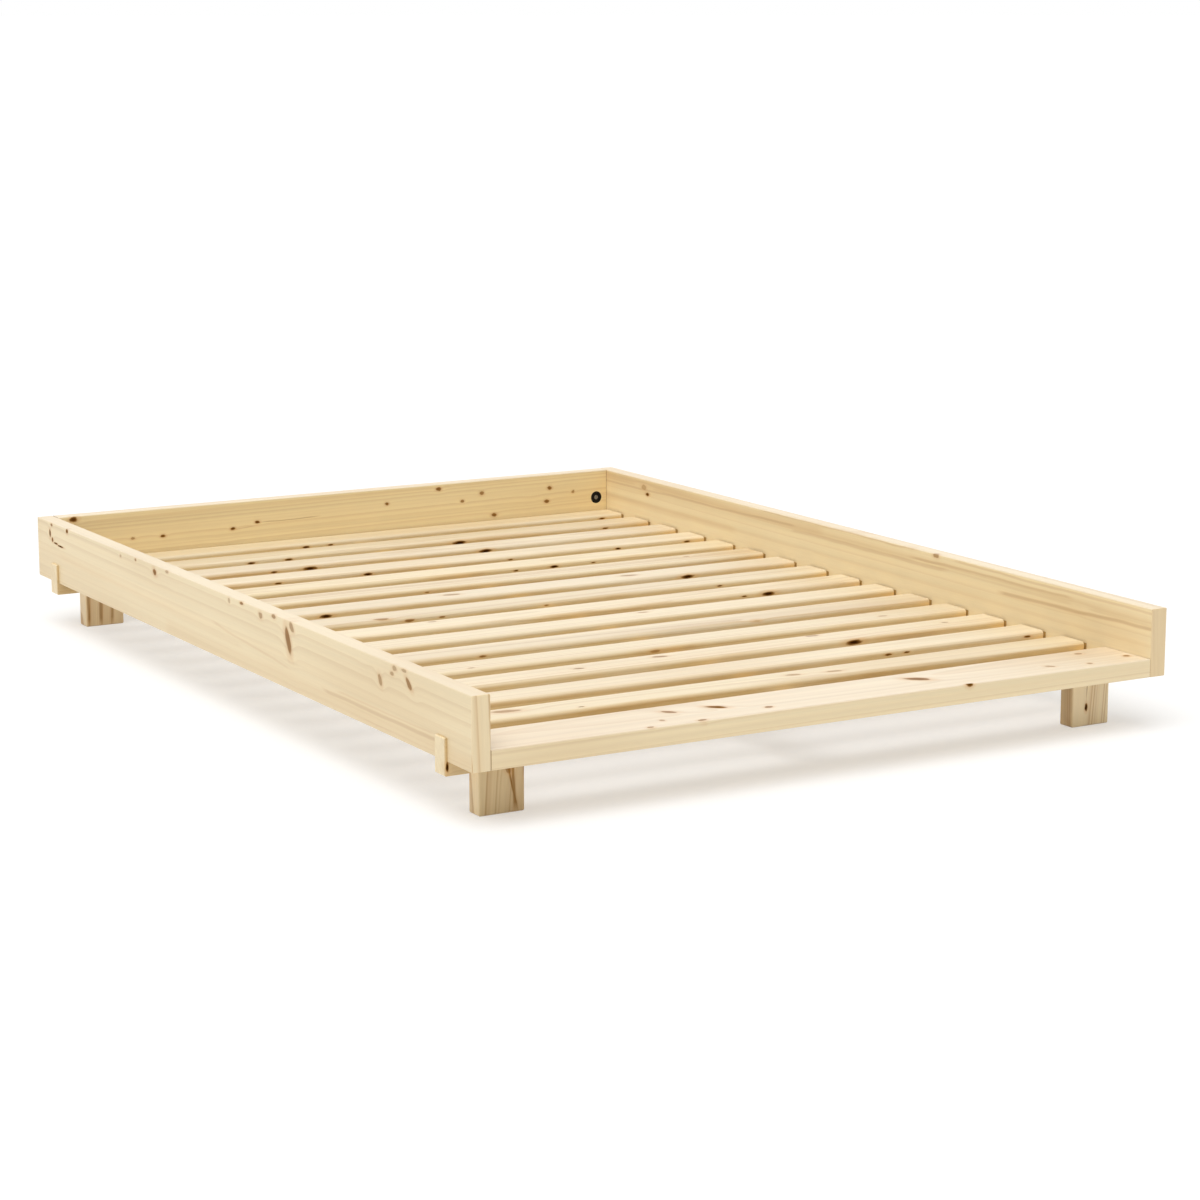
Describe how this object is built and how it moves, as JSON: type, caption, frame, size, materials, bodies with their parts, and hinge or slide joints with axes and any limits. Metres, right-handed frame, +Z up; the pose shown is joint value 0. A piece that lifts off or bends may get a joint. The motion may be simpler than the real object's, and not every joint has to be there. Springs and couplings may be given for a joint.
{
  "type": "low slatted bed frame",
  "caption": "Low bed frame of raw pine: boards on edge along both sides and the head, a flat board across the open foot, cross slats, hooked bearers and short block legs.",
  "frame": {"origin": "on the floor, under the middle of the bed", "axes": "+X to the right seen from the open foot, +Y along the bed to the head, +Z up"},
  "size_m": [1.48, 2.047, 0.232],
  "materials": {
    "pine_board": "raw planed pine, long grain",
    "pine_frame": "raw planed pine, long grain",
    "pine_leg": "raw planed pine, upright grain",
    "pine_slat": "raw planed pine with small dark knots",
    "tenon_beech": "plain beech",
    "housing_black": "moulded matte black",
    "cam_zinc": "die-cast zinc",
    "bolt_steel": "zinc-plated steel",
    "brad_steel": "galvanised steel"
  },
  "bodies": {
    "bed": {"left_side_board": "pine_board", "right_side_board": "pine_board", "back_board": "pine_board", "front_board": "pine_board", "front_bearer": "pine_frame", "back_bearer": "pine_frame", "left_slat_ledger": "pine_frame", "right_slat_ledger": "pine_frame", "centre_rail": "pine_frame", "front_left_leg": "pine_leg", "front_right_leg": "pine_leg", "back_left_leg": "pine_leg", "back_right_leg": "pine_leg", "centre_leg": "pine_leg", "slat_01": "pine_slat", "slat_02": "pine_slat", "slat_03": "pine_slat", "slat_04": "pine_slat", "slat_05": "pine_slat", "slat_06": "pine_slat", "slat_07": "pine_slat", "slat_08": "pine_slat", "slat_09": "pine_slat", "slat_10": "pine_slat", "slat_11": "pine_slat", "slat_12": "pine_slat", "slat_13": "pine_slat", "slat_14": "pine_slat", "slat_15": "pine_slat", "front_left_cam_housing": "housing_black", "front_right_cam_housing": "housing_black", "back_left_cam_housing": "housing_black", "back_right_cam_housing": "housing_black", "front_left_cam_bolt": "bolt_steel", "front_right_cam_bolt": "bolt_steel", "back_left_cam_bolt": "bolt_steel", "back_right_cam_bolt": "bolt_steel", "front_board_tenons": "tenon_beech", "back_board_tenons": "tenon_beech", "ledger_brads": "brad_steel", "slat_brads": "brad_steel"},
    "front_left_cam": {"front_left_cam": "cam_zinc"},
    "front_right_cam": {"front_right_cam": "cam_zinc"},
    "back_left_cam": {"back_left_cam": "cam_zinc"},
    "back_right_cam": {"back_right_cam": "cam_zinc"}
  },
  "joints": [
    {"name": "front_left_cam_turn", "type": "hinge", "parent": "bed", "child": "front_left_cam", "pos_m": [-0.671, -0.9565, 0.102], "axis": [0, 0, 1], "range_deg": [0, 180]},
    {"name": "front_right_cam_turn", "type": "hinge", "parent": "bed", "child": "front_right_cam", "pos_m": [0.671, -0.9565, 0.102], "axis": [0, 0, 1], "range_deg": [0, 180]},
    {"name": "back_left_cam_turn", "type": "hinge", "parent": "bed", "child": "back_left_cam", "pos_m": [-0.671, 0.9885, 0.167], "axis": [0, 1, 0], "range_deg": [0, 180]},
    {"name": "back_right_cam_turn", "type": "hinge", "parent": "bed", "child": "back_right_cam", "pos_m": [0.671, 0.9885, 0.167], "axis": [0, 1, 0], "range_deg": [0, 180]}
  ]
}
